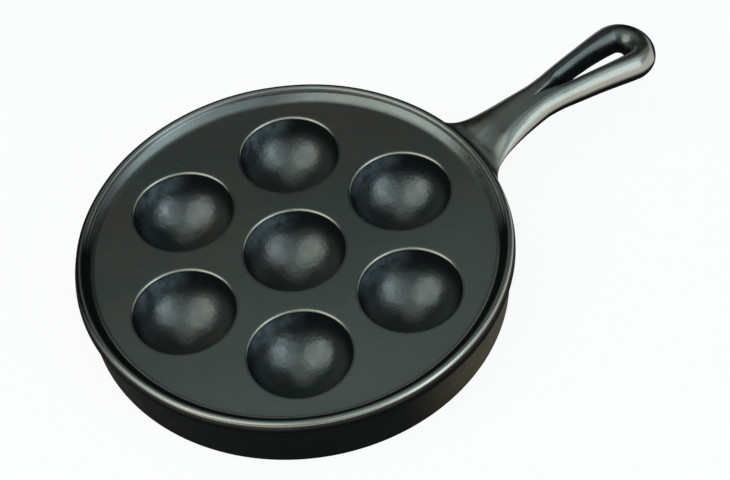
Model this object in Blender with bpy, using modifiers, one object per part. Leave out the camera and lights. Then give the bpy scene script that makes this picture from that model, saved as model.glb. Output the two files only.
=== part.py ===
# Cast iron griddle: a round pan with seven hemispherical wells, a raised rim, a deep side
# skirt that it stands on, and a flat handle that opens into a loop. Metres, +Z up.
# The real object is one casting. Each object here is one region of it.

import math

import bmesh
import bpy
from mathutils import Vector

# Wells, measured at the deck
WELL_MOUTH_RADIUS = 0.02765
WELL_DEPTH = 0.0238
WELL_WALL = 0.0040
WELL_EDGE_ROUND = 0.0012
OUTER_WELLS = 6
WELL_LAND = 0.0035

# Deck, the flat cooking face between the wells
DECK_THICKNESS = 0.0040
DECK_MARGIN = 0.0056

# Rim, from the deck outwards
RIM_FILLET_WIDTH = 0.0016
RIM_FILLET_RISE = 0.0006
RIM_SLOPE_WIDTH = 0.0049
RIM_SLOPE_RISE = 0.0030
RIM_STEP_WIDTH = 0.0018
RIM_STEP_RISE = 0.0015
RIM_TOP_WIDTH = 0.0034
RIM_ROUND = 0.0007
LIP_DROP = 0.0018
LIP_OVERHANG = 0.0026

# Skirt
SKIRT_WALL = 0.0040
SKIRT_DRAFT = 0.0010
SKIRT_EDGE_ROUND = 0.0007
FOOT_CLEARANCE = 0.0010

# Handle lengths, out from the rim along its middle
NECK_OUT = 0.0437
FORK_BEYOND_NECK = 0.0103
LOOP_LENGTH = 0.0643

# Handle widths and thicknesses
ROOT_HALF_WIDTH = 0.0206
ROOT_CROWN = 0.0024
ROOT_BELLY = 0.0060
NECK_HALF_WIDTH = 0.0104
NECK_CROWN = 0.0047
NECK_BELLY = 0.0056
RAIL_RADIUS = 0.0057
TIP_RADIUS = 0.0075
SLOT_END_RADIUS = 0.0042
FORK_GAP = 0.0006
FORK_SEAT = 0.0020

# Handle heights above the deck, and how fast its flare and its rise die away
ROOT_LEVEL = 0.0026
HANDLE_RISE = 0.0094
FLARE_SHAPE = 2.0
RISE_SHAPE = 2.8

# How square the handle's section is, 2 for an ellipse
ROOT_SQUARENESS = 3.2
FORK_SQUARENESS = 2.4

# What touches keeps this gap, and the trimming solid stands this far above the rim
JOINT_GAP = 0.0003
TRIM_ABOVE = 0.0200

# Fineness of the round shapes
WELL_STEPS = 32
RIM_STEPS = 96
BOWL_RINGS = 7
ARM_STATIONS = 14
ARM_SPACING = 1.3
ARM_SIDES = 20
RAIL_POINTS = 7
TIP_POINTS = 12

# Sizes that follow from those above
BOWL_RADIUS = (WELL_MOUTH_RADIUS**2 + WELL_DEPTH**2) / (2 * WELL_DEPTH)
BOWL_CENTRE = BOWL_RADIUS - WELL_DEPTH
CUP_RADIUS = math.sqrt((BOWL_RADIUS + WELL_WALL) ** 2 - BOWL_CENTRE**2)
WELL_PITCH = 2 * CUP_RADIUS + WELL_LAND
DECK_RADIUS = WELL_PITCH + CUP_RADIUS + DECK_MARGIN
STEP_RADIUS = DECK_RADIUS + RIM_SLOPE_WIDTH
RIM_TOP_INNER = STEP_RADIUS + RIM_STEP_WIDTH
RIM_RADIUS = RIM_TOP_INNER + RIM_TOP_WIDTH
RIM_HEIGHT = RIM_SLOPE_RISE + RIM_STEP_RISE
DECK_LEVEL = max(WELL_DEPTH + WELL_WALL, DECK_THICKNESS + LIP_DROP) + FOOT_CLEARANCE
SKIRT_RADIUS = RIM_RADIUS - LIP_OVERHANG
FORK_OUT = NECK_OUT + FORK_BEYOND_NECK
HANDLE_REACH = FORK_OUT + LOOP_LENGTH
LOOP_RADIUS = SLOT_END_RADIUS + TIP_RADIUS
LOOP_CENTRE_OUT = HANDLE_REACH - TIP_RADIUS - LOOP_RADIUS
FORK_HALF_SPREAD = RAIL_RADIUS + FORK_GAP / 2
PAN_AXIS_X = -HANDLE_REACH / 2

# Seasoned iron
IRON_COLOUR = (0.030, 0.031, 0.031, 1.0)
IRON_METALLIC = 0.35
IRON_ROUGHNESS = 0.42


def clear_scene():
    for old in list(bpy.data.objects):
        bpy.data.objects.remove(old, do_unlink=True)


def new_collection(name):
    collection = bpy.data.collections.new(name)
    bpy.context.scene.collection.children.link(collection)
    return collection


def iron(name, tint):
    """A Principled material for one region: the same iron, a touch lighter or darker."""
    material = bpy.data.materials.new(name)
    material.use_nodes = True
    shader = material.node_tree.nodes["Principled BSDF"]
    colour = [channel * tint for channel in IRON_COLOUR[:3]] + [1.0]
    shader.inputs["Base Color"].default_value = colour
    shader.inputs["Metallic"].default_value = IRON_METALLIC
    shader.inputs["Roughness"].default_value = IRON_ROUGHNESS
    material.diffuse_color = colour
    return material


def place(obj, collection, parent, location=(0, 0, 0), tint=None):
    collection.objects.link(obj)
    obj.parent = parent
    obj.location = location
    if tint is not None:
        obj.data.materials.append(iron(obj.name + "_iron", tint))
    return obj


def shade_round(mesh, angle=35):
    mesh.shade_smooth()
    mesh.set_sharp_from_angle(angle=math.radians(angle))


def turned(name, profile, steps, closed):
    """A profile of (radius, height) points turned about Z. It runs down its outer side."""
    mesh = bpy.data.meshes.new(name)
    edges = [(i, i + 1) for i in range(len(profile) - 1)]
    if closed:
        edges.append((len(profile) - 1, 0))
    mesh.from_pydata([(r, 0, z) for r, z in profile], edges, [])
    obj = bpy.data.objects.new(name, mesh)
    screw = obj.modifiers.new("turn", "SCREW")
    screw.axis = "Z"
    screw.angle = math.tau
    screw.steps = steps
    screw.render_steps = steps
    screw.use_merge_vertices = True
    screw.merge_threshold = 0.00001
    screw.use_smooth_shade = True
    return obj


def arc(centre, radius, start, end, count):
    """Points on an arc from start to end, in degrees, as (radius, height)."""
    points = []
    for i in range(count + 1):
        a = math.radians(start + (end - start) * i / count)
        points.append((centre[0] + radius * math.cos(a), centre[1] + radius * math.sin(a)))
    return points


def circle_spline(curve, centre, radius, steps):
    spline = curve.splines.new("POLY")
    spline.points.add(steps - 1)
    for i, point in enumerate(spline.points):
        a = math.tau * i / steps
        point.co = (centre[0] + radius * math.cos(a), centre[1] + radius * math.sin(a), 0, 1)
    spline.use_cyclic_u = True


def well_places():
    """The centre well, then the ring of outer wells. The first outer well faces the handle."""
    places = [("well_center", (0.0, 0.0))]
    for i in range(OUTER_WELLS):
        a = math.tau * i / OUTER_WELLS
        places.append((f"well_{i + 1}", (WELL_PITCH * math.cos(a), WELL_PITCH * math.sin(a))))
    return places


def cup_profile():
    """A bowl of constant wall: up its inside from the pole, over its mouth, down its outside."""
    mouth_angle = math.degrees(math.atan2(-BOWL_CENTRE, WELL_MOUTH_RADIUS))
    round_angle = math.degrees(WELL_EDGE_ROUND / BOWL_RADIUS)
    inside = arc((0, BOWL_CENTRE), BOWL_RADIUS, -90, mouth_angle - round_angle, BOWL_RINGS)
    outer = BOWL_RADIUS + WELL_WALL
    top_angle = math.degrees(math.atan2(-BOWL_CENTRE, CUP_RADIUS))
    outside = arc((0, BOWL_CENTRE), outer, top_angle, -90, BOWL_RINGS)
    inside[0] = (0, inside[0][1])
    outside[-1] = (0, outside[-1][1])
    lip = [(WELL_MOUTH_RADIUS + WELL_EDGE_ROUND / 2, 0)]
    return inside + lip + outside


def build_wells(collection, pan):
    mesh = None
    for name, (x, y) in well_places():
        cup = turned(name, cup_profile(), WELL_STEPS, closed=False)
        if mesh is None:
            mesh = cup.data
            mesh.materials.append(iron("well_iron", 1.1))
        else:
            spare = cup.data
            cup.data = mesh
            bpy.data.meshes.remove(spare)
        place(cup, collection, pan, (x, y, DECK_LEVEL))


def build_plate(collection, pan):
    """The deck, with a hole round each cup."""
    curve = bpy.data.curves.new("cooking_plate", "CURVE")
    curve.dimensions = "2D"
    curve.fill_mode = "BOTH"
    curve.extrude = DECK_THICKNESS / 2
    circle_spline(curve, (0, 0), DECK_RADIUS - JOINT_GAP / 2, RIM_STEPS)
    for _, centre in well_places():
        circle_spline(curve, centre, CUP_RADIUS + JOINT_GAP, WELL_STEPS)
    plate = bpy.data.objects.new("cooking_plate", curve)
    place(plate, collection, pan, (0, 0, DECK_LEVEL - DECK_THICKNESS / 2), tint=1.0)


def rim_profile():
    """Sloped inner wall, small step, flat top, rounded outer edge and the overhanging lip."""
    inner = DECK_RADIUS + JOINT_GAP / 2
    shoulder = arc((RIM_TOP_INNER, RIM_HEIGHT - RIM_ROUND), RIM_ROUND, 180, 90, 2)
    outer_edge = arc((RIM_RADIUS - RIM_ROUND, RIM_HEIGHT - RIM_ROUND), RIM_ROUND, 90, 0, 2)
    lip_edge = arc((RIM_RADIUS - RIM_ROUND, -LIP_DROP + RIM_ROUND), RIM_ROUND, 0, -90, 1)
    slope = [
        (inner, -DECK_THICKNESS),
        (inner, 0),
        (DECK_RADIUS + RIM_FILLET_WIDTH, RIM_FILLET_RISE),
        (STEP_RADIUS, RIM_SLOPE_RISE),
    ]
    under = [
        (SKIRT_RADIUS, -LIP_DROP),
        (SKIRT_RADIUS, -DECK_THICKNESS - LIP_DROP),
        (SKIRT_RADIUS - SKIRT_WALL, -DECK_THICKNESS - LIP_DROP),
        (SKIRT_RADIUS - SKIRT_WALL, -DECK_THICKNESS),
    ]
    return slope + shoulder + outer_edge + lip_edge + under


def skirt_profile():
    """Drafted wall down to the foot that the pan stands on."""
    top = -DECK_THICKNESS - LIP_DROP - JOINT_GAP
    edge = SKIRT_EDGE_ROUND
    level = -DECK_LEVEL + edge
    outer_foot = SKIRT_RADIUS - SKIRT_DRAFT
    inner_foot = outer_foot - SKIRT_WALL
    wall_top = [(SKIRT_RADIUS - SKIRT_WALL, top), (SKIRT_RADIUS, top)]
    outer_edge = arc((outer_foot - edge, level), edge, 0, -90, 2)
    inner_edge = arc((inner_foot + edge, level), edge, -90, -180, 1)
    return wall_top + outer_edge + inner_edge


def build_rim_and_skirt(collection, pan):
    rim = turned("rim", rim_profile(), RIM_STEPS, closed=True)
    place(rim, collection, pan, (0, 0, DECK_LEVEL), tint=1.15)
    skirt = turned("side_skirt", skirt_profile(), RIM_STEPS, closed=True)
    place(skirt, collection, pan, (0, 0, DECK_LEVEL), tint=0.8)


def smooth_step(t):
    t = min(max(t, 0.0), 1.0)
    return t * t * (3 - 2 * t)


def handle_level(out):
    """Height of the handle's middle above the deck: a rise that levels off to the tip."""
    t = min(max(out / HANDLE_REACH, 0.0), 1.0)
    return ROOT_LEVEL + HANDLE_RISE * (1 - (1 - t) ** RISE_SHAPE)


def arm_section(out):
    """Half-width, middle height, crown and belly of the arm at a distance out from the rim."""
    flare = (1 - min(max(out / NECK_OUT, 0.0), 1.0)) ** FLARE_SHAPE
    to_neck = smooth_step(out / NECK_OUT)
    to_fork = smooth_step((out - NECK_OUT) / FORK_BEYOND_NECK)
    width = NECK_HALF_WIDTH + (ROOT_HALF_WIDTH - NECK_HALF_WIDTH) * flare
    width += (FORK_HALF_SPREAD + RAIL_RADIUS - NECK_HALF_WIDTH) * to_fork
    crown = ROOT_CROWN + (NECK_CROWN - ROOT_CROWN) * to_neck + (RAIL_RADIUS - NECK_CROWN) * to_fork
    belly = ROOT_BELLY + (NECK_BELLY - ROOT_BELLY) * to_neck + (RAIL_RADIUS - NECK_BELLY) * to_fork
    return width, handle_level(out), crown, belly


def arm_ring(out):
    """One rounded section of the arm, squarer near the root."""
    width, middle, crown, belly = arm_section(out)
    blend = smooth_step(out / FORK_OUT)
    power = 2 / (ROOT_SQUARENESS + (FORK_SQUARENESS - ROOT_SQUARENESS) * blend)
    points = []
    for i in range(ARM_SIDES):
        a = math.tau * i / ARM_SIDES
        across = math.copysign(abs(math.cos(a)) ** power, math.cos(a))
        up = math.copysign(abs(math.sin(a)) ** power, math.sin(a))
        rise = crown if up > 0 else belly
        points.append(Vector((RIM_RADIUS + out, width * across, middle + rise * up)))
    return points


def rail_slope():
    """Half-angle between the two rails of the loop: each rail is tangent to the tip's arc."""
    run = LOOP_CENTRE_OUT - FORK_OUT
    length = math.hypot(run, FORK_HALF_SPREAD)
    return math.asin(min(LOOP_RADIUS / length, 1)) - math.atan2(FORK_HALF_SPREAD, run)


def pan_side_cutter(collection, pan):
    """A solid the shape of the rim and skirt, one gap larger, that trims the arm's root."""
    lip = RIM_RADIUS + JOINT_GAP
    skirt = SKIRT_RADIUS + JOINT_GAP
    profile = [
        (0, RIM_HEIGHT + TRIM_ABOVE),
        (lip, RIM_HEIGHT + TRIM_ABOVE),
        (lip, -LIP_DROP - JOINT_GAP),
        (skirt, -LIP_DROP - JOINT_GAP),
        (skirt, -DECK_LEVEL),
        (0, -DECK_LEVEL),
    ]
    cutter = turned("pan_side_cutter", profile, RIM_STEPS, closed=False)
    place(cutter, collection, pan, (0, 0, DECK_LEVEL))
    cutter.hide_render = True
    cutter.display_type = "WIRE"
    return cutter


def build_arm(collection, pan, cutter):
    """A loft from the wide, flat root through the neck to the fork, trimmed to the pan's side."""
    bm = bmesh.new()
    rings = []
    start = -LIP_OVERHANG - SKIRT_WALL / 2
    end = FORK_OUT - JOINT_GAP
    for i in range(ARM_STATIONS + 1):
        out = start + (end - start) * (i / ARM_STATIONS) ** ARM_SPACING
        rings.append([bm.verts.new(p) for p in arm_ring(out)])
    for near, far in zip(rings, rings[1:]):
        for i in range(ARM_SIDES):
            j = (i + 1) % ARM_SIDES
            bm.faces.new((near[i], far[i], far[j], near[j]))
    bm.faces.new(rings[0])
    bm.faces.new(list(reversed(rings[-1])))
    bmesh.ops.recalc_face_normals(bm, faces=bm.faces)
    mesh = bpy.data.meshes.new("handle_arm")
    bm.to_mesh(mesh)
    bm.free()
    shade_round(mesh)
    arm = bpy.data.objects.new("handle_arm", mesh)
    place(arm, collection, pan, (0, 0, DECK_LEVEL), tint=1.2)
    cut = arm.modifiers.new("trim to the pan's side", "BOOLEAN")
    cut.operation = "DIFFERENCE"
    cut.solver = "EXACT"
    cut.object = cutter


def loop_path():
    """Centreline of the loop, one side to the other: (out, across, level, share of the thickening)."""
    slope = rail_slope()
    tangent_out = LOOP_CENTRE_OUT - LOOP_RADIUS * math.sin(slope)
    tangent_across = LOOP_RADIUS * math.cos(slope)
    side = [(FORK_OUT, FORK_HALF_SPREAD, handle_level(FORK_OUT), 0.0)]
    rail_start = FORK_OUT + FORK_SEAT
    for i in range(RAIL_POINTS):
        t = i / RAIL_POINTS
        out = rail_start + (tangent_out - rail_start) * t
        level = handle_level(FORK_OUT) if i == 0 else handle_level(out)
        side.append((out, FORK_HALF_SPREAD + (tangent_across - FORK_HALF_SPREAD) * t, level, t))
    path = list(side)
    for i in range(TIP_POINTS + 1):
        a = (math.pi / 2 + slope) * (1 - 2 * i / TIP_POINTS)
        out = LOOP_CENTRE_OUT + LOOP_RADIUS * math.cos(a)
        path.append((out, LOOP_RADIUS * math.sin(a), handle_level(out), 1.0))
    path += [(out, -across, level, t) for out, across, level, t in reversed(side)]
    return path


def build_loop(collection, pan):
    """The two rails and the rounded tip, one bent bar that thickens towards the tip."""
    curve = bpy.data.curves.new("handle_loop", "CURVE")
    curve.dimensions = "3D"
    curve.bevel_depth = RAIL_RADIUS
    curve.bevel_resolution = 3
    curve.use_fill_caps = True
    spline = curve.splines.new("POLY")
    path = loop_path()
    spline.points.add(len(path) - 1)
    for point, (out, across, level, t) in zip(spline.points, path):
        point.co = (RIM_RADIUS + out, across, level, 1)
        point.radius = 1 + (TIP_RADIUS / RAIL_RADIUS - 1) * t
    loop = bpy.data.objects.new("handle_loop", curve)
    place(loop, collection, pan, (0, 0, DECK_LEVEL), tint=1.2)


def build():
    clear_scene()
    parts = new_collection("Cast Iron Well Griddle")
    guides = new_collection("Cutters")
    pan = bpy.data.objects.new("pan_axis", None)
    pan.location = (PAN_AXIS_X, 0, 0)
    parts.objects.link(pan)
    build_plate(parts, pan)
    build_wells(parts, pan)
    build_rim_and_skirt(parts, pan)
    cutter = pan_side_cutter(guides, pan)
    build_arm(parts, pan, cutter)
    build_loop(parts, pan)


build()
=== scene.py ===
import math

import bmesh
import bpy
from mathutils import Matrix, Vector, geometry, noise


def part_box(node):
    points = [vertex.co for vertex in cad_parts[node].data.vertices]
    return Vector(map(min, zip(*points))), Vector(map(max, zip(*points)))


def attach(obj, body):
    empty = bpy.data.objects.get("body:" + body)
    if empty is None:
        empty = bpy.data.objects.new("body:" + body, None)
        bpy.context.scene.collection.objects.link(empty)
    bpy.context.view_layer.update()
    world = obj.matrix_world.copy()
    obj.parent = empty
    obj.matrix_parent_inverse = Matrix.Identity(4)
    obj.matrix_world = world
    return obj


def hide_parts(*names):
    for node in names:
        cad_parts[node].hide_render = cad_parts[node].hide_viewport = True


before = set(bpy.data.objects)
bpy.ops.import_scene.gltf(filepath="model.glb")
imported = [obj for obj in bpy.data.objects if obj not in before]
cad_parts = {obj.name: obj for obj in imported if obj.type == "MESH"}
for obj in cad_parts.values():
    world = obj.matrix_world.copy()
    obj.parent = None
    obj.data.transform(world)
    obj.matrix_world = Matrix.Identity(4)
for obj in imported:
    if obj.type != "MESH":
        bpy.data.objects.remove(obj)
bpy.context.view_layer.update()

mm = 0.001
halfGap = 0.15 * mm  # half of the gap that the CAD nodes keep between them
ringSteps = 384  # around the rim, the skirt and the deck's edge, so that they meet
weldBelow = 0.005 * mm  # points closer than this become one

# where the CAD stands: the sizes below hang on these
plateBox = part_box("cooking_plate")
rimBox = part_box("rim")
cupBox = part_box("well_center")
deckLevel = plateBox[1].z
panAxis = Vector(((rimBox[0].x + rimBox[1].x) / 2, 0, deckLevel))
deckRadius = (plateBox[1].x - plateBox[0].x) / 2 + halfGap
lipRadius = (rimBox[1].x - rimBox[0].x) / 2
cupRadius = (cupBox[1].x - cupBox[0].x) / 2 + halfGap
cupBottom = cupBox[0].z - deckLevel
plateDepth = plateBox[1].z - plateBox[0].z

# the studio as the photo sees it: +X to the picture's right, +Y away, its origin at the deck's centre
handleTurn = 28.79  # degrees that the handle points back from +X
studio = Matrix.Translation(panAxis) @ Matrix.Rotation(math.radians(-handleTurn), 4, "Z")

# the cast skin's waviness: one smooth field for all pieces, so that neighbours keep meeting
castWave = {
    "longWave": 34 * mm,
    "longHeight": 0.16 * mm,
    "shortWave": 8 * mm,
    "shortHeight": 0.025 * mm,
    "flatFoot": 3 * mm,  # it dies out towards the floor
    "seed": 4,
}
noise.seed_set(castWave["seed"])  # without it the field would differ from run to run


def waved(point):
    fade = min(max(point.z / castWave["flatFoot"], 0), 1)
    longPart = noise.noise_vector(point / castWave["longWave"]) * castWave["longHeight"]
    shortPart = noise.noise_vector(point / castWave["shortWave"]) * castWave["shortHeight"]
    return point + (longPart + shortPart) * fade


def makePiece(name, points, faces, nodes, material, sharpAngle=40):
    mesh = bpy.data.meshes.new(name)
    mesh.from_pydata([waved(p) for p in points], [], faces)
    bm = bmesh.new()
    bm.from_mesh(mesh)
    bmesh.ops.remove_doubles(bm, verts=bm.verts, dist=weldBelow)
    bmesh.ops.recalc_face_normals(bm, faces=bm.faces)
    bm.to_mesh(mesh)
    bm.free()
    mesh.shade_smooth()
    mesh.set_sharp_from_angle(angle=math.radians(sharpAngle))
    mesh.materials.append(material)
    piece = bpy.data.objects.new(name, mesh)
    bpy.context.scene.collection.objects.link(piece)
    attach(piece, "root")
    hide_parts(*nodes)
    return piece


def arcPoints(centre, radius, start, end, count):
    angles = [math.radians(start + (end - start) * i / count) for i in range(count + 1)]
    return [(centre[0] + radius * math.cos(a), centre[1] + radius * math.sin(a)) for a in angles]


def filled(profile, longest):  # extra points on the long runs of a closed profile, so that they can wave
    fine = []
    for (r0, z0), (r1, z1) in zip(profile, profile[1:] + profile[:1]):
        parts = max(1, math.ceil(math.hypot(r1 - r0, z1 - z0) / longest))
        fine += [(r0 + (r1 - r0) * i / parts, z0 + (z1 - z0) * i / parts) for i in range(parts)]
    return fine


def turned(profile, centre, steps):  # a closed profile of (radius, height) turned about Z
    points = []
    faces = []
    count = len(profile)
    for s in range(steps):
        a = math.tau * s / steps
        points += [centre + Vector((r * math.cos(a), r * math.sin(a), z)) for r, z in profile]
        near, far = s * count, (s + 1) % steps * count
        for i in range(count):
            j = (i + 1) % count
            faces.append((near + i, far + i, far + j, near + j))
    return points, faces


def through(keys, x):  # smooth curve through the given (x, value) keys, flat beyond them
    if x <= keys[0][0]:
        return keys[0][1]
    if x >= keys[-1][0]:
        return keys[-1][1]
    spans = list(zip(keys, keys[1:]))
    slopes = [(b[1] - a[1]) / (b[0] - a[0]) for a, b in spans]
    i = max(k for k, span in enumerate(spans) if span[0][0] <= x)

    def lean(k):
        before, after = slopes[max(k - 1, 0)], slopes[min(k, len(slopes) - 1)]
        return 0 if before * after <= 0 else 2 * before * after / (before + after)

    (x0, v0), (x1, v1) = spans[i]
    t = (x - x0) / (x1 - x0)
    rise = (2 * t**3 - 3 * t**2 + 1) * v0 + (3 * t**2 - 2 * t**3) * v1
    return rise + ((t**3 - 2 * t**2 + t) * lean(i) + (t**3 - t**2) * lean(i + 1)) * (x1 - x0)


def easeIn(x, low, high):
    t = min(max((x - low) / (high - low), 0), 1)
    return t * t * (3 - 2 * t)


class Wire:  # one shader socket that can stand in plain arithmetic
    def __init__(self, board, socket):
        self.board = board
        self.socket = socket

    def maths(self, operation, first, second):
        return self.board.node("ShaderNodeMath", {"operation": operation}, {0: first, 1: second})

    def __add__(self, other):
        return self.maths("ADD", self, other)

    def __sub__(self, other):
        return self.maths("SUBTRACT", self, other)

    def __rsub__(self, other):
        return self.maths("SUBTRACT", other, self)

    def __mul__(self, other):
        return self.maths("MULTIPLY", self, other)

    __radd__ = __add__
    __rmul__ = __mul__


class Board:  # a material's node tree
    def __init__(self, name):
        self.material = bpy.data.materials.new(name)
        self.material.use_nodes = True
        self.tree = self.material.node_tree
        self.tree.nodes.clear()

    def node(self, kind, settings, sockets, output=0):
        made = self.tree.nodes.new(kind)
        for name, value in settings.items():
            setattr(made, name, value)
        for name, value in sockets.items():
            if isinstance(value, Wire):
                self.tree.links.new(value.socket, made.inputs[name])
            else:
                made.inputs[name].default_value = value
        if made.outputs:
            return Wire(self, made.outputs[output])

    def noise(self, place, scale, detail, roughness, distortion=0.0):
        return self.node("ShaderNodeTexNoise", {}, {
            "Vector": place,
            "Scale": scale,
            "Detail": detail,
            "Roughness": roughness,
            "Distortion": distortion,
        })

    def step(self, value, low, high):  # 0 below low, 1 above high, smooth between
        return self.node("ShaderNodeMapRange", {"interpolation_type": "SMOOTHSTEP"}, {
            "Value": value, "From Min": low, "From Max": high,
        })

    def blend(self, share, first, second):  # two colours
        return self.node("ShaderNodeMix", {"data_type": "RGBA"}, {0: share, 6: first, 7: second}, output=2)

    def parts(self, vector):
        first = self.node("ShaderNodeSeparateXYZ", {}, {0: vector})
        return [Wire(self, socket) for socket in first.socket.node.outputs]

    def dot(self, first, second):
        settings = {"operation": "DOT_PRODUCT"}
        return self.node("ShaderNodeVectorMath", settings, {0: first, 1: second}, output=1)

    def reach(self, vector, turn):  # how far it reaches in a direction of the studio
        way = Matrix.Rotation(math.radians(turn), 3, "Z") @ Vector((1, 0, 0))
        return self.dot(vector, studio.to_3x3() @ way)

    def finish(self, shader):
        self.node("ShaderNodeOutputMaterial", {}, {"Surface": shader})
        return self.material


# the iron: ranges run from none to full; heights are over the deck, turns are degrees from the studio's +X
seasoned = {
    "iron": (0.004, 0.005, 0.005, 1),
    "ironGreen": (0.002, 0.010, 0.008, 1),
    "ironBrown": (0.014, 0.008, 0.006, 1),
    "brownFrom": (0.40, 0.62),  # of the patches' noise
    "plainFrom": (0.35, 0.70),  # of the flecks' noise
    "patches": (22, 4, 0.6, 0.6),  # noises: scale per metre, detail, roughness and distortion
    "flecks": (160, 3, 0.6),
    "grain": (1500, 2, 0.6),
    "pits": (420, 3, 0.55),
    "grainHeight": 0.016 * mm,
    "pitHeight": 0.14 * mm,
    "castHeight": 0.26 * mm,  # of the flecks' own relief
    "deckRelief": 0.3,  # share of the wells' relief that the deck has
    "wornRelief": 0.35,  # share of that which is left where the skin is worn
    "unevenness": 0.24,  # how much patches and flecks change the roughness
    "roughness": 0.33,  # of the deck and the wells
    "density": 1.85,  # and their IOR
    "shine": 0.5,  # Specular IOR Level
    "wornRoughness": 0.26,  # of the rim and the handle, which are wiped and held
    "wornDensity": 2.3,
    "wornFrom": (104.8 * mm, 106.8 * mm),  # distance from the pan's axis
    "outerFrom": (109.2 * mm, 110.2 * mm),  # and that at which the lip's rounded top begins
    "handleFrom": (115.0 * mm, 117.0 * mm),  # and at which the handle does
    "wellFrom": (-2.5 * mm, -0.8 * mm),  # height below which a place is in a well

    "frontSheenColour": (0.030, 0.038, 0.034, 1),  # painted reflection: the deck is lighter towards its front
    "frontTurn": 290,
    "frontSheenFrom": (-60 * mm, 110 * mm),  # how far a place is out in that direction
    "frontSheenSway": 60 * mm,  # how much the patches move that
    "frontSheenDown": (-1.5 * mm, -0.3 * mm),  # height, as the wells stay black

    "wearAndHighlightColour": (0.54, 0.49, 0.41, 1),  # worn bare iron, and painted highlight: lighter and metallic on the lip's front, the wells' far edges and the handle's near side
    "wearAndHighlightShare": 0.66,
    "highlightFront": (40 * mm, 85 * mm),  # painted highlight: the lip is lighter in front, towards the lens
    "lipBehindShare": 0.4,  # and has this share of that behind
    "wearAndHighlightEvenly": 0.85,  # share of the wear and painted highlight that is the same everywhere
    "wearAndHighlightFlecks": 0.3,  # and how much the flecks add
    "wearAndHighlightUp": (0.80, 0.96),  # what faces up gets less of it, by the normal's height
    "highlightEdge": (-1.7 * mm, -1.0 * mm),  # height of the wells' rounded edges, which get a painted highlight
    "highlightTop": (0.05 * mm, 0.3 * mm),  # height at which they end
    "edgeTurn": 279,  # the way that those edges face where the highlight is painted, towards the lens
    "edgeFacing": (0.12, 0.36),
    "flankSide": (1.5 * mm, 4.0 * mm),  # how much a place on the handle is out sideways and faces that way
    "nearSide": (0.0, 2 * mm),  # distance from the handle's middle towards the lens
    "flankUp": (0.45, 0.80),  # the normal's height at which that side turns into the handle's top
    "flankSpared": 0.6,  # share of the near flank's painted highlight that the top lacks

    # painted shade: a near-black, hardly reflecting skin on what faces down or sideways, the lip's outside,
    # its hollow, the handle's far side and tip
    "shadeColour": (0.005, 0.005, 0.005, 1),
    "shadeRoughness": 0.6,  # of the sides and the underside
    "shadeDensity": 1.5,
    "shadeShine": 0.012,
    "shadeUp": (0.22, 0.54),  # the normal's height at which the painted shade gives way to the plain skin
    "shadeFlank": (0.10, 0.26),  # and on the handle's near side
    "wellTilt": 0.11,  # the wells' painted shade reaches this much higher
    "shadedOut": (10 * mm, 40 * mm),  # how much a place on the lip is out from the axis and faces that way
    "unshadedFront": (-20 * mm, 40 * mm),  # no painted shade on the lip from here on towards the front
    "hollowTurn": 266,  # the hollow inside the lip has painted shade too, but for its back
    "hollowFront": (-25 * mm, 0.0),
    "hollowFrom": (105.8 * mm, 107.0 * mm),
    "hollowTo": (110.4 * mm, 112.0 * mm),
    "farSide": (2 * mm, 6 * mm),  # distance from the handle's middle away from the lens
    "farFacing": (0.58, 0.74),  # how much the painted shade's full share there has to face that way
    "farShade": 0.4,  # share of what faces elsewhere
    "tipOut": (130 * mm, 160 * mm),  # like the lip's outward reach, for a painted shade line round the tip
    "tipTop": (25 * mm, 80 * mm),  # and for the painted shade on the tip's top
    "tipSide": (-9 * mm, 0.0),
    "tipShade": 0.85,

    "warmReflection": (0.075, 0.058, 0.036, 1),  # painted reflection: a warm, lighter patch on the skirt's right side, towards the right lamps
    "warmTurn": 345,
    "warmFrom": (70 * mm, 112 * mm),
    "warmOut": (94 * mm, 104 * mm),  # outward reach as for the painted shade, so that the skirt's inside and the cups have none
    "warmDown": (-4 * mm, 0.0),
    "warmEvenly": 0.5,
    "wellHighlightColour": (0.095, 0.112, 0.125, 1),  # painted highlight: bluish on the wells' far left walls, which face the right lamps
    "scuffTurn": 308,  # the way that those walls face
    "wellHighlightFrom": (0.60, 1.04),
    "wellHighlightFlecks": 2.4,
    "wellHighlightGaps": 0.5,
    "insideUp": (0.0, 0.06),  # the cups' outsides face down
    "wellLift": 0.04,  # share of the painted highlight's colour all over the wells, a painted lift of their shade
}


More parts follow.
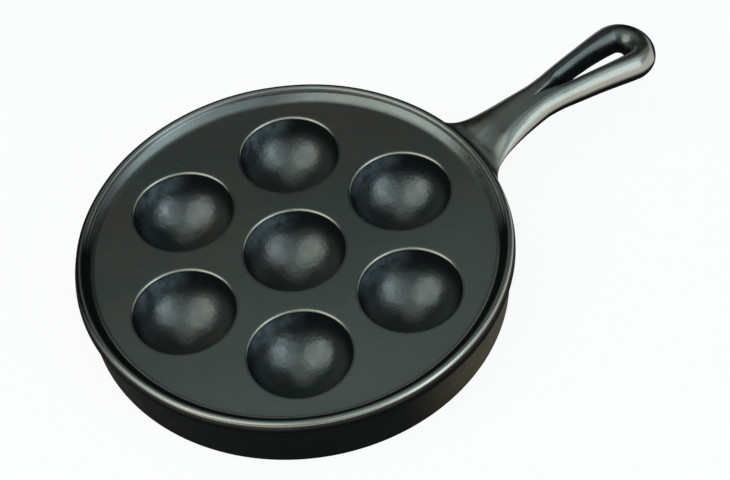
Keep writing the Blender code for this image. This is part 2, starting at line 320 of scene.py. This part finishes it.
def seasonedIron(name, values):
    board = Board(name)

    def ranged(value, key):
        return board.step(value, *values[key])

    # where a place is
    place = board.node("ShaderNodeTexCoord", {}, {}, output=3)
    facing = board.node("ShaderNodeNewGeometry", {}, {}, output=1)
    sideways, up = board.parts(facing)[1:]
    width, height = board.parts(place)[1:]
    height = height - deckLevel
    offAxis = board.node("ShaderNodeVectorMath", {"operation": "SUBTRACT"}, {0: place, 1: panAxis})
    offAxis = board.node("ShaderNodeVectorMath", {"operation": "MULTIPLY"}, {0: offAxis, 1: (1, 1, 0)})
    fromAxis = board.node("ShaderNodeVectorMath", {"operation": "LENGTH"}, {0: offAxis}, output=1)
    along = board.reach(offAxis, values["frontTurn"])
    outward = board.dot(offAxis, facing)
    worn = ranged(fromAxis, "wornFrom")
    handle = ranged(fromAxis, "handleFrom")
    lip = ranged(fromAxis, "outerFrom") - handle
    inWell = (1 - worn) * (1 - ranged(height, "wellFrom"))
    nearFlank = handle * ranged(width * sideways, "flankSide") * ranged(0 - width, "nearSide")

    # painted shade: a dark skin where surfaces face down, sideways or away from the lens
    hollow = ranged(fromAxis, "hollowFrom") * (1 - ranged(fromAxis, "hollowTo"))
    hollow = hollow * ranged(board.reach(offAxis, values["hollowTurn"]), "hollowFront")
    farFlank = ranged(width, "farSide") * (ranged(sideways, "farFacing") + values["farShade"])
    tipTop = ranged(outward, "tipTop") * ranged(width, "tipSide") * values["tipShade"]
    paintedShade = ranged(outward, "shadedOut") * lip * (1 - ranged(along, "unshadedFront")) + hollow
    paintedShade = paintedShade + handle * (farFlank + tipTop + ranged(outward, "tipOut"))
    unshaded = ranged(up - inWell * values["wellTilt"], "shadeUp") * (1 - nearFlank)
    unshaded = (unshaded + nearFlank * ranged(up, "shadeFlank")) * (1 - paintedShade)

    # wear, and painted highlight on edges and flanks that face the lens
    edge = ranged(height, "highlightEdge") * (1 - ranged(height, "highlightTop"))
    edge = edge * (1 - worn) * ranged(board.reach(facing, values["edgeTurn"]), "edgeFacing")
    lip = lip * (values["lipBehindShare"] + ranged(along, "highlightFront") * (1 - values["lipBehindShare"]))
    wearAndHighlightMask = (lip + edge) * (1 - ranged(up, "wearAndHighlightUp"))
    wearAndHighlightMask = wearAndHighlightMask + nearFlank * (1 - ranged(up, "flankUp") * values["flankSpared"])

    # colours
    patches = board.noise(place, *values["patches"])
    flecks = board.noise(place, *values["flecks"])
    tone = board.blend(ranged(patches, "brownFrom"), values["ironGreen"], values["ironBrown"])
    tone = board.blend(ranged(flecks, "plainFrom"), tone, values["iron"])
    # painted reflection: the deck lighter towards the front, the wells left out
    frontSheen = ranged(along + (patches - 0.5) * values["frontSheenSway"], "frontSheenFrom") * ranged(height, "frontSheenDown")
    tone = board.blend(frontSheen, tone, values["frontSheenColour"])
    # wear and painted highlight: lighter, metallic bare iron
    wearAndHighlight = board.step(wearAndHighlightMask * (values["wearAndHighlightEvenly"] + flecks * values["wearAndHighlightFlecks"]), 0.0, 1.0)
    wearAndHighlight = wearAndHighlight * values["wearAndHighlightShare"]
    tone = board.blend(wearAndHighlight, tone, values["wearAndHighlightColour"])
    # painted reflection: warm lighter patch on the skirt's right side
    warmReflection = ranged(board.reach(offAxis, values["warmTurn"]), "warmFrom") * ranged(outward, "warmOut")
    warmReflection = warmReflection * (1 - ranged(height, "warmDown")) * (1 - handle)
    shadeColour = board.blend(warmReflection * (values["warmEvenly"] + flecks), values["shadeColour"], values["warmReflection"])
    # painted highlight on the wells' far left walls
    scuff = inWell * ranged(board.reach(facing, values["scuffTurn"]), "wellHighlightFrom") * ranged(up, "insideUp")
    scuff = scuff * (flecks * values["wellHighlightFlecks"] - values["wellHighlightGaps"])
    shadeColour = board.blend(scuff + inWell * values["wellLift"], shadeColour, values["wellHighlightColour"])

    # relief and shine
    grain = board.noise(place, *values["grain"])
    pits = board.noise(place, *values["pits"])
    depth = grain * values["grainHeight"] + pits * values["pitHeight"] + flecks * values["castHeight"]
    share = values["deckRelief"]
    relief = board.node("ShaderNodeBump", {}, {
        "Strength": 1.0,
        "Distance": 1.0,
        "Height": depth * (share + inWell * (1 - share)) * (1 - worn * (1 - values["wornRelief"])),
    })
    uneven = (patches + flecks - 1.0) * values["unevenness"]
    skins = []
    for colour, metal, roughness, density, shine in [
        (tone, wearAndHighlight, values["roughness"], values["density"], values["shine"]),
        (tone, wearAndHighlight, values["wornRoughness"], values["wornDensity"], values["shine"]),
        (shadeColour, 0.0, values["shadeRoughness"], values["shadeDensity"], values["shadeShine"]),
    ]:
        skins.append(board.node("ShaderNodeBsdfPrincipled", {}, {
            "Base Color": colour,
            "Metallic": metal,
            "Roughness": uneven + roughness,
            "IOR": density,
            "Specular IOR Level": shine,
            "Normal": relief,
        }))
    # the third skin is the painted shade's dark skin
    plain, wiped, shadedSkin = skins
    top = board.node("ShaderNodeMixShader", {}, {0: worn, 1: plain, 2: wiped})
    return board.finish(board.node("ShaderNodeMixShader", {}, {0: unshaded, 1: shadedSkin, 2: top}))


print("iron")
iron = seasonedIron("seasonedIron", seasoned)

print("wells")
wellShape = {
    "steps": 144,
    "mouth": 26.9 * mm,  # where the bowl's sphere would meet the deck without its rounded edge
    "edgeRound": 1.6 * mm,
    "wall": 4.0 * mm,
    "bowlRings": 30,
    "edgeRings": 9,
    "landRings": 3,  # between the rounded edge and the deck
    "underRings": 24,
    "underFillet": 2.8 * mm,  # between the cup and the deck's underside
    "waist": [(0.28, 0.22), (0.75, 0.60)],  # its points: shares of the way in and of the fillet's height
}


def cupProfile():
    wall = wellShape["wall"]
    depth = -cupBottom - wall
    radius = (wellShape["mouth"] ** 2 + depth**2) / (2 * depth)
    centre = (0, radius - depth)
    edge = wellShape["edgeRound"]
    edgeOut = math.sqrt((radius + edge) ** 2 - (centre[1] + edge) ** 2)
    meet = math.degrees(math.atan2(-edge - centre[1], edgeOut))
    bowl = arcPoints(centre, radius, -90, meet, wellShape["bowlRings"])
    rounding = arcPoints((edgeOut, -edge), edge, 180 + meet, 90, wellShape["edgeRings"])
    outer = radius + wall
    fillet = wellShape["underFillet"]
    side = math.sqrt(outer**2 - (centre[1] + plateDepth + fillet) ** 2)
    start = math.degrees(math.atan2(-plateDepth - fillet - centre[1], side))
    under = arcPoints(centre, outer, start, -90, wellShape["underRings"])
    rings = wellShape["landRings"]
    land = [(edgeOut + (cupRadius - edgeOut) * i / rings, 0) for i in range(1, rings + 1)]
    waist = [(cupRadius, -plateDepth / 2), (cupRadius, -plateDepth)]
    waist += [(cupRadius + (side - cupRadius) * x, -plateDepth - fillet * z) for x, z in wellShape["waist"]]
    return bowl[1:] + rounding[1:] + land + waist + under[:-1], (0, -depth), (0, centre[1] - outer)


def makeCup(node, place):
    profile, top, bottom = cupProfile()
    steps = wellShape["steps"]
    points, faces = turned(profile, place, steps)
    count = len(profile)
    # the profile stays open at the poles
    faces = [face for face in faces if abs(face[3] - face[0]) != count - 1]
    points += [place + Vector((0, 0, top[1])), place + Vector((0, 0, bottom[1]))]
    for s in range(steps):
        near, far = s * count, (s + 1) % steps * count
        faces.append((near, far, len(points) - 2))
        faces.append((near + count - 1, far + count - 1, len(points) - 1))
    makePiece(node.replace("well", "cup"), points, faces, [node], iron)


wellPlaces = {}
for node in ["well_center"] + [f"well_{i}" for i in range(1, 7)]:
    low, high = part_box(node)
    wellPlaces[node] = Vector(((low.x + high.x) / 2, (low.y + high.y) / 2, deckLevel))
    makeCup(node, wellPlaces[node])

print("deck")
deckShape = {
    "grid": 2.0 * mm,
    "clear": 1.1 * mm,  # no grid point closer than this to an edge
    "rowShare": 1.2,  # rows and columns for each pitch of the radius, as the rows are closer than a pitch
    "weld": 1e-7,
}


def ringOf(centre, radius, steps):
    turns = [math.tau * s / steps for s in range(steps)]
    return [(centre.x + radius * math.cos(a), centre.y + radius * math.sin(a)) for a in turns]


def makeDeck():
    rings = [ringOf(panAxis, deckRadius, ringSteps)]
    rings += [ringOf(place, cupRadius, wellShape["steps"]) for place in wellPlaces.values()]
    flat = []
    edges = []
    for ring in rings:
        first = len(flat)
        edges += [(first + i, first + (i + 1) % len(ring)) for i in range(len(ring))]
        flat += ring
    pitch, clear = deckShape["grid"], deckShape["clear"]
    rows = int(deckRadius / pitch * deckShape["rowShare"])
    for row in range(-rows, rows + 1):
        for column in range(-rows, rows + 1):
            x = panAxis.x + (column + row % 2 / 2) * pitch
            spot = Vector((x, row * pitch * math.sin(math.pi / 3), deckLevel))
            inside = (spot - panAxis).length < deckRadius - clear
            if inside and all((spot - place).length > cupRadius + clear for place in wellPlaces.values()):
                flat.append((spot.x, spot.y))
    cut = geometry.delaunay_2d_cdt([Vector(p) for p in flat], edges, [], 0, deckShape["weld"])
    verts, triangles = cut[0], cut[2]
    kept = []
    for tri in triangles:
        middle = sum((verts[i] for i in tri), Vector((0, 0))) / 3
        if all((middle - place.xy).length > cupRadius for place in wellPlaces.values()):
            kept.append(tuple(tri))
    count = len(verts)
    points = [Vector((v.x, v.y, deckLevel)) for v in verts]
    points += [Vector((v.x, v.y, deckLevel - plateDepth)) for v in verts]
    faces = kept + [tuple(i + count for i in reversed(tri)) for tri in kept]
    sides = {}
    for tri in kept:
        for a, b in zip(tri, tri[1:] + tri[:1]):
            sides[(a, b)] = 1
    faces += [(b, a, a + count, b + count) for a, b in sides if (b, a) not in sides]
    makePiece("deck", points, faces, ["cooking_plate"], iron)


makeDeck()

print("rim and skirt")
rimShape = {  # radii and heights over the deck, in mm, drawn for a CAD rim of drawnFor
    "drawnFor": 114.267,
    "slope": [
        (104.7, 0.05), (105.3, 0.32), (106.0, 0.78), (106.8, 1.40), (107.6, 2.08),
        (108.2, 2.62), (108.7, 2.98), (109.1, 3.38), (109.45, 4.05),
    ],
    "beadCentre": (111.75, 3.7),
    "bead": 2.25,  # radius of the rounded top
    "beadFrom": 150,  # degrees at which the slope runs into it
    "beadTo": 14,
    "beadSteps": 20,
    "side": [(114.75, 1.2), (114.9, 0.2)],
    "lipBottom": -1.2,
    "lipRound": 0.6,
    "lipSteps": 5,
    "cove": [(113.5, -1.3), (113.0, -1.45), (112.6, -1.9), (112.32, -2.7)],
    "longest": 1.6,  # side of a face
    "sharpAngle": 48,
}
skirtShape = {
    "join": -5.95,
    "outside": 112.3,
    "foot": 111.3,  # the radius at the foot
    "wall": 4.4,
    "footRound": 0.8,
    "footSteps": 6,
    "longest": 2.2,
    "sharpAngle": 48,
}
rimScale = lipRadius / mm / rimShape["drawnFor"]


def makeRim():
    bottom, lipRound = rimShape["lipBottom"], rimShape["lipRound"]
    out = rimShape["side"][-1][0]
    profile = [(deckRadius / rimScale / mm, 0)] + rimShape["slope"]
    beadFrom, beadTo = rimShape["beadFrom"], rimShape["beadTo"]
    profile += arcPoints(rimShape["beadCentre"], rimShape["bead"], beadFrom, beadTo, rimShape["beadSteps"])
    profile += rimShape["side"]
    profile += arcPoints((out - lipRound, bottom + lipRound), lipRound, 0, -90, rimShape["lipSteps"])
    profile += rimShape["cove"]
    outside, wall = skirtShape["outside"], skirtShape["wall"]
    profile += [(outside, skirtShape["join"]), (outside - wall, skirtShape["join"])]
    profile += [(outside - wall, -plateDepth / mm), (deckRadius / rimScale / mm, -plateDepth / mm)]
    profile = [(x * rimScale * mm, z * mm) for x, z in profile]
    points, faces = turned(filled(profile, rimShape["longest"] * mm), panAxis, ringSteps)
    makePiece("rimRing", points, faces, ["rim"], iron, rimShape["sharpAngle"])


def makeSkirt():
    floor = -deckLevel / mm
    outside, foot, wall = skirtShape["outside"], skirtShape["foot"], skirtShape["wall"]
    bend, steps = skirtShape["footRound"], skirtShape["footSteps"]
    profile = [(outside, skirtShape["join"])]
    profile += arcPoints((foot - bend, floor + bend), bend, 0, -90, steps)
    profile += arcPoints((foot - wall + bend, floor + bend), bend, 270, 180, steps)
    profile += [(outside - wall, skirtShape["join"])]
    profile = [(x * rimScale * mm, z * mm) for x, z in profile]
    points, faces = turned(filled(profile, skirtShape["longest"] * mm), panAxis, ringSteps)
    makePiece("skirt", points, faces, ["side_skirt"], iron, skirtShape["sharpAngle"])


makeRim()
makeSkirt()

print("handle")
handleShape = {  # (distance from the pan's axis, value), in mm; heights over the deck
    "halfWidth": [
        (111, 31.0), (114.3, 27.4), (115.6, 24.6), (117, 22.2), (120, 19.3), (125, 16.7), (130, 15.1),
        (138, 13.4), (145, 12.4), (152, 11.6), (158, 11.1), (165, 11.5), (172, 12.5), (180, 13.8),
        (190, 15.3), (200, 17.0), (210, 18.7), (214.3, 19.2),
    ],
    "slot": [(168, 0), (172, 0.8), (180, 1.9), (190, 3.1), (200, 4.1), (208, 4.4), (214.3, 4.3)],
    "top": [
        (111, 3.4), (114.3, 3.2), (116, 3.0), (118, 3.4), (120, 4.4), (123, 6.2), (126, 7.9), (130, 10.0),
        (138, 12.9), (145, 14.8), (158, 17.0), (172, 18.6), (190, 19.8), (205, 20.3), (214.3, 20.3),
    ],
    "edge": [
        (111, 0.9), (114.3, 1.2), (118, 1.8), (124, 2.9), (130, 4.0), (145, 6.2), (158, 7.8), (172, 8.8),
        (190, 9.4), (205, 9.4), (214.3, 9.2),
    ],
    "bottom": [
        (111, -4.4), (114.3, -2.7), (118, -2.4), (130, 0.1), (145, 3.1), (158, 4.9), (172, 5.7), (190, 5.8),
        (205, 5.2), (214.3, 4.6),
    ],
    "creaseDepth": [(156, 0), (160, 0.2), (165, 0.6), (172, 1)],
    "creaseWidth": [(156, 0.12), (160, 0.25), (165, 0.55), (172, 0.95), (180, 1)],
    "shoulder": 0.56,  # share of the half width that the outer rounding takes in the neck
    "squareness": 2.0,
    "slotEnd": 0.45,  # share of the slot's half width by which its far end falls short of a half circle
    "tipRadius": 19.4,
    "tipEdge": 9.2,
    "tipTop": 19.3,
    "tipBottom": 3.9,
    "seat": (114.3, 140),  # between these the ends of the sections turn from the lip's circle to straight
    "seatStations": [
        111, 112.6, 114.3, 114.8, 115.4, 116, 117, 118, 119.2, 120.5, 122, 123.6, 125.4, 127.4,
    ],
    "stations": 44,  # from there to the tip
    "onMiddle": 0.001,  # faces closer than this to the middle plane are left out, where the halves join
    "tipSteps": 26,
    "underSteps": 14,  # round a section: the corners' points and those between them
    "overSteps": 16,
    "creaseSteps": 10,
    "slotSteps": 8,
    "flatSteps": 4,
    "sharpAngle": 50,
}


def quarter(centre, across, up, start, count):  # a superellipse corner from one axis to the next
    power = 2 / handleShape["squareness"]
    corner = []
    for i in range(count + 1):
        a = math.radians(start + 90 * i / count)
        c, s = math.cos(a), math.sin(a)
        x = math.copysign(abs(c) ** power, c) * across
        z = math.copysign(abs(s) ** power, s) * up
        corner.append((centre[0] + x, centre[1] + z))
    return corner


def handleSection(inner, outer, top, edge, bottom, rail, creaseWidth):
    web = outer * handleShape["shoulder"]
    across = web + ((outer - inner) / 2 - web) * rail
    flat = outer - across
    crease = (flat - inner) * creaseWidth
    dip, rise = (top - edge) * rail, (edge - bottom) * rail
    wallTop, wallBottom = top - dip, bottom + rise
    shares = [i / handleShape["flatSteps"] for i in range(1, handleShape["flatSteps"])]
    section = quarter((flat, edge), across, edge - bottom, -90, handleShape["underSteps"])
    section += quarter((flat, edge), across, top - edge, 0, handleShape["overSteps"])[1:]
    section += [(flat + (inner + crease - flat) * share, top) for share in shares]
    section += quarter((inner + crease, wallTop), crease, dip, 90, handleShape["creaseSteps"])
    section += [(inner, wallTop + (wallBottom - wallTop) * share) for share in shares]
    section += quarter((inner + crease, wallBottom), crease, rise, 180, handleShape["slotSteps"])
    section += [(inner + crease + (flat - inner - crease) * share, bottom) for share in shares]
    return section


def handleStations(last):
    near = handleShape["seatStations"]
    count = handleShape["stations"]
    return near + [near[-1] + (last - near[-1]) * i / count for i in range(1, count + 1)]


def makeHandle():
    shape = handleShape
    last = shape["halfWidth"][-1][0]
    rings = []
    for u in handleStations(last):
        keys = ("slot", "halfWidth", "top", "edge", "bottom", "creaseDepth", "creaseWidth")
        section = handleSection(*[through(shape[key], u) for key in keys])
        bend = 1 - easeIn(u, *shape["seat"])
        rings.append([(u + (math.sqrt(u * u - y * y) - u) * bend, y, z) for y, z in section])
    turns = shape["tipSteps"]
    tips = {"halfWidth": "tipRadius", "edge": "tipEdge", "top": "tipTop", "bottom": "tipBottom"}
    for i in range(1, turns + 1):
        a = math.radians(90 * (1 - i / turns))
        share = easeIn(i / turns, 0, 1)
        at = {key: through(shape[key], last) * (1 - share) + shape[tip] * share for key, tip in tips.items()}
        slot = through(shape["slot"], last) * (1 - share * shape["slotEnd"])
        section = handleSection(slot, at["halfWidth"], at["top"], at["edge"], at["bottom"], 1, 1)
        rings.append([(last + d * math.cos(a), d * math.sin(a), z) for d, z in section])
    count = len(rings[0])
    points = []
    faces = []
    for side in (1, -1):
        first = len(points)
        points += [panAxis + Vector((x, y * side, z)) * mm for ring in rings for x, y, z in ring]
        for r in range(len(rings) - 1):
            for i in range(count):
                j = (i + 1) % count
                start = first + r * count
                face = (start + i, start + count + i, start + count + j, start + j)
                if max(abs(points[k].y) for k in face) > shape["onMiddle"] * mm:
                    faces.append(face)
        faces.append(tuple(range(first, first + count)))
    makePiece("handle", points, faces, ["handle_arm", "handle_loop"], iron, shape["sharpAngle"])


makeHandle()

print("studio")
floorLook = {
    "radius": 12.0,
    "wallHeight": 1.8,
    "steps": 64,
    "colour": (0.86, 0.86, 0.86, 1),
    "paper": 0.92,  # share of the plain white that the camera sees in place of the lit colour
}


def makeFloor():
    board = Board("paleFloor")
    rays = board.node("ShaderNodeLightPath", {}, {})
    seen = rays
    for name in ("Is Glossy Ray", "Is Transmission Ray"):
        seen = seen + Wire(board, rays.socket.node.outputs[name])
    paper = board.node("ShaderNodeEmission", {}, {"Color": (1, 1, 1, 1), "Strength": 1.0})
    plain = board.node("ShaderNodeBsdfDiffuse", {}, {"Color": floorLook["colour"]})
    share = seen * floorLook["paper"]
    material = board.finish(board.node("ShaderNodeMixShader", {}, {0: share, 1: plain, 2: paper}))
    steps = floorLook["steps"]
    ring = ringOf(Vector((0, 0, 0)), floorLook["radius"], steps)
    points = [Vector((0, 0, 0))]
    for height in (0, floorLook["wallHeight"]):
        points += [Vector((x, y, height)) for x, y in ring]
    faces = []
    for s in range(steps):
        a, b = 1 + s, 1 + (s + 1) % steps
        faces += [(0, a, b), (a, a + steps, b + steps, b)]
    mesh = bpy.data.meshes.new("floor")
    mesh.from_pydata(points, [], faces)
    mesh.materials.append(material)
    floor = bpy.data.objects.new("floor", mesh)
    bpy.context.scene.collection.objects.link(floor)


makeFloor()

# soft round lamps: height over the deck and turn from the studio's +X, in degrees
lightPlan = {
    "left": {"height": 50, "turn": 205, "width": 1.8, "watts": 14.5, "colour": (0.86, 1.0, 0.93)},
    "leftLow": {"height": 28, "turn": 200, "width": 1.0, "watts": 1.6, "colour": (0.90, 1.0, 0.96)},
    "right": {"height": 42, "turn": 320, "width": 1.8, "watts": 7.2, "colour": (0.74, 0.98, 1.0)},
    "rightMiddle": {"height": 46, "turn": 345, "width": 1.0, "watts": 1.9, "colour": (0.80, 0.98, 1.0)},
    "rightLow": {"height": 18, "turn": 320, "width": 1.0, "watts": 4.0, "colour": (0.68, 0.88, 1.0)},
    "rightSide": {"height": 23, "turn": 4, "width": 0.8, "watts": 0.7, "colour": (0.75, 0.92, 1.0)},
    "rightHot": {"height": 35, "turn": 329, "width": 0.5, "watts": 1.15, "colour": (0.85, 0.95, 1.0)},
    "top": {"height": 88, "turn": 0, "width": 1.4, "watts": 3.0, "colour": (0.80, 1.0, 0.92)},
    "back": {"height": 62, "turn": 95, "width": 1.2, "watts": 1.1, "colour": (0.88, 1.0, 0.92)},
    "front": {"height": 40, "turn": 265, "width": 1.1, "watts": 0.8, "colour": (0.80, 0.95, 1.0)},
}
lampDistance = 1.5
worldLevel = 0.04


def makeLights():
    for name, plan in lightPlan.items():
        lamp = bpy.data.lights.new(name, "AREA")
        lamp.shape = "DISK"
        lamp.size = plan["width"]
        lamp.energy = plan["watts"]
        lamp.color = plan["colour"]
        light = bpy.data.objects.new(name, lamp)
        turn = Matrix.Rotation(math.radians(plan["turn"]), 4, "Z")
        lean = Matrix.Rotation(math.radians(90 - plan["height"]), 4, "Y")
        light.matrix_world = studio @ turn @ lean @ Matrix.Translation((0, 0, lampDistance))
        light.visible_camera = False
        bpy.context.scene.collection.objects.link(light)
    world = bpy.data.worlds.new("studioWorld")
    world.use_nodes = True
    world.node_tree.nodes["Background"].inputs["Color"].default_value = (1, 1, 1, 1)
    world.node_tree.nodes["Background"].inputs["Strength"].default_value = worldLevel
    bpy.context.scene.world = world


makeLights()

photoView = {
    "elevation": 50.57,  # degrees above the deck
    "roll": 6.42,
    "distance": 1.03006,
    "aimRight": 0.03673,  # the lens looks past the pan's centre by these, in the camera's own axes
    "aimUp": 0.00495,
    "lens": 97.63,
    "sensor": 36,
    "near": 0.01,
    "far": 60,
}


def makeCamera():
    camera = bpy.data.objects.new("photoCamera", bpy.data.cameras.new("photoCamera"))
    camera.data.lens = photoView["lens"]
    camera.data.sensor_width = photoView["sensor"]
    camera.data.clip_start = photoView["near"]
    camera.data.clip_end = photoView["far"]
    tilt = Matrix.Rotation(math.radians(90 - photoView["elevation"]), 4, "X")
    roll = Matrix.Rotation(math.radians(-photoView["roll"]), 4, "Z")
    back = Matrix.Translation((photoView["aimRight"], photoView["aimUp"], photoView["distance"]))
    camera.matrix_world = studio @ tilt @ roll @ back
    bpy.context.scene.collection.objects.link(camera)
    bpy.context.scene.camera = camera


makeCamera()

bpy.context.scene.view_settings.view_transform = "Standard"

print("done")
